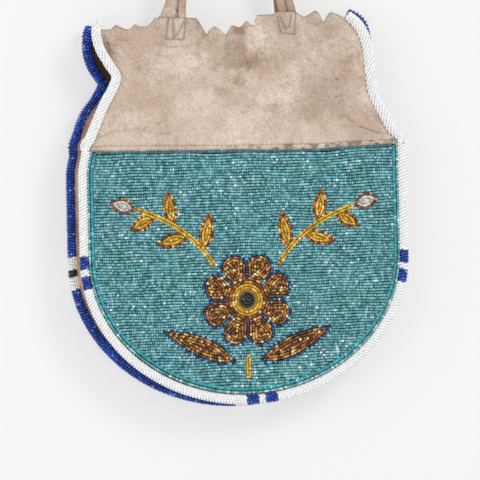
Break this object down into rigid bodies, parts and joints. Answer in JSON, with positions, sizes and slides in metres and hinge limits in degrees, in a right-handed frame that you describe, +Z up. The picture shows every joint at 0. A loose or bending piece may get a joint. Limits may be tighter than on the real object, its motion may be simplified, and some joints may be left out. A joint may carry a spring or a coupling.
{
  "type": "beaded bag",
  "caption": "Flat hide bag with a U-shaped beaded front panel, rolled bead edging on both seams, a leather gusset, a soft pinked yoke and twin strap handles, hung from a hook.",
  "frame": {"origin": "at the hook, under the round tops of the two strap handles", "axes": "X to the right seen from the beaded front, Y to the back, Z up; the beaded front faces -Y"},
  "size_m": [0.2592, 0.0344, 0.4219],
  "materials": {
    "hide": "smoked hide, matt",
    "strap_hide": "smoked hide, matt",
    "gusset_hide": "brown hide, worn",
    "canvas": "plain canvas",
    "lining_cloth": "plain cotton",
    "turquoise_beads": "opaque glass beads with a rainbow coat",
    "pale_turquoise_beads": "opaque glass beads with a rainbow coat",
    "teal_beads": "glossy clear glass beads over dark thread",
    "white_beads": "opaque glossy glass beads",
    "blue_beads": "opaque glossy glass beads",
    "black_beads": "opaque glossy glass beads",
    "bronze_beads": "cut glass beads with a metallic rainbow coat",
    "gold_beads": "glossy amber glass beads",
    "grey_beads": "pale opaque glass beads"
  },
  "bodies": {
    "bag_body": {"back_panel": "hide", "panel_canvas": "canvas", "panel_lining": "lining_cloth", "gusset_bottom": "gusset_hide", "gusset_left": "gusset_hide", "gusset_right": "gusset_hide", "bead_field": "turquoise_beads", "outer_row": "pale_turquoise_beads", "teal_row": "teal_beads", "blossom_petals": "bronze_beads", "blossom_heart": "gold_beads", "blossom_eye": "black_beads", "spray_left": "gold_beads", "spray_right": "gold_beads", "bud_left": "grey_beads", "bud_right": "grey_beads", "low_leaf_left": "bronze_beads", "low_leaf_right": "bronze_beads", "base_stem": "gold_beads", "front_roll_left_side": "white_beads", "front_roll_lower_left": "white_beads", "front_roll_lower_right": "white_beads", "front_roll_right_side": "white_beads", "front_roll_left_check_first": "blue_beads", "front_roll_left_check_middle": "white_beads", "front_roll_left_check_last": "blue_beads", "front_roll_bottom_check_first": "blue_beads", "front_roll_bottom_check_middle": "white_beads", "front_roll_bottom_check_last": "blue_beads", "front_roll_right_check_first": "blue_beads", "front_roll_right_check_middle": "white_beads", "front_roll_right_check_last": "blue_beads", "back_roll_left_side": "blue_beads", "back_roll_lower_left": "blue_beads", "back_roll_lower_right": "blue_beads", "back_roll_right_side": "blue_beads", "back_roll_left_check_first": "white_beads", "back_roll_left_check_middle": "black_beads", "back_roll_left_check_last": "white_beads", "back_roll_bottom_check_first": "white_beads", "back_roll_bottom_check_middle": "black_beads", "back_roll_bottom_check_last": "white_beads", "back_roll_right_check_first": "white_beads", "back_roll_right_check_middle": "black_beads", "back_roll_right_check_last": "white_beads", "back_tab_left": "strap_hide", "back_tab_right": "strap_hide"},
    "front_upper": {"front_yoke": "hide", "front_roll_upper_left": "white_beads", "front_roll_upper_right": "white_beads", "front_tab_left": "strap_hide", "front_tab_right": "strap_hide"},
    "front_handle": {"front_strap": "strap_hide"},
    "back_handle": {"back_strap": "strap_hide"}
  },
  "joints": [
    {"name": "mouth_open", "type": "hinge", "parent": "bag_body", "child": "front_upper", "pos_m": [0, -0.0177, -0.2228], "axis": [1, 0, 0], "range_deg": [0, 12], "deforming": ["gusset_left", "gusset_right"]},
    {"name": "front_handle_swing", "type": "hinge", "parent": "front_upper", "child": "front_handle", "pos_m": [0, -0.0072, -0.118], "axis": [1, 0, 0], "range_deg": [0, 170]},
    {"name": "back_handle_swing", "type": "hinge", "parent": "bag_body", "child": "back_handle", "pos_m": [0, 0.0072, -0.118], "axis": [1, 0, 0], "range_deg": [-170, 0]}
  ]
}
